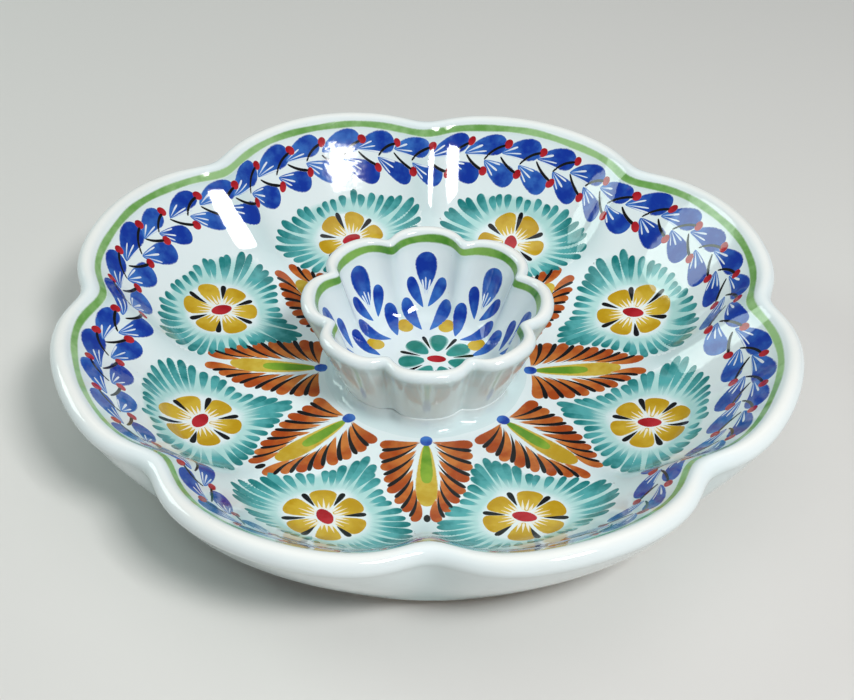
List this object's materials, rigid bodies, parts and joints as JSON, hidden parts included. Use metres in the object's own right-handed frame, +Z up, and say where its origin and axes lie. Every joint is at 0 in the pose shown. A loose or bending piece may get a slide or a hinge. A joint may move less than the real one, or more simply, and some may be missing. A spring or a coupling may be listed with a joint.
{
  "type": "chip and dip server",
  "caption": "Round scalloped earthenware platter with a deep lobed wall and a lobed dip bowl fixed to the middle of its floor, hand painted and glazed.",
  "frame": {"origin": "on the table, under the middle of the dip bowl and of the platter", "axes": "+Z up out of the bowl, -Y towards the viewer, through a notch between two lobes of the platter and through a lobe of the bowl"},
  "size_m": [0.33, 0.3314, 0.0583],
  "materials": {
    "glazed_clay": "glossy white tin glaze over earthenware, hand painted",
    "bare_clay": "bare fired clay, wiped clean of glaze"
  },
  "bodies": {
    "root": {"platter_body": "glazed_clay", "platter_foot_ring": "bare_clay", "dip_bowl": "glazed_clay", "luting_fillet": "glazed_clay"}
  },
  "joints": []
}
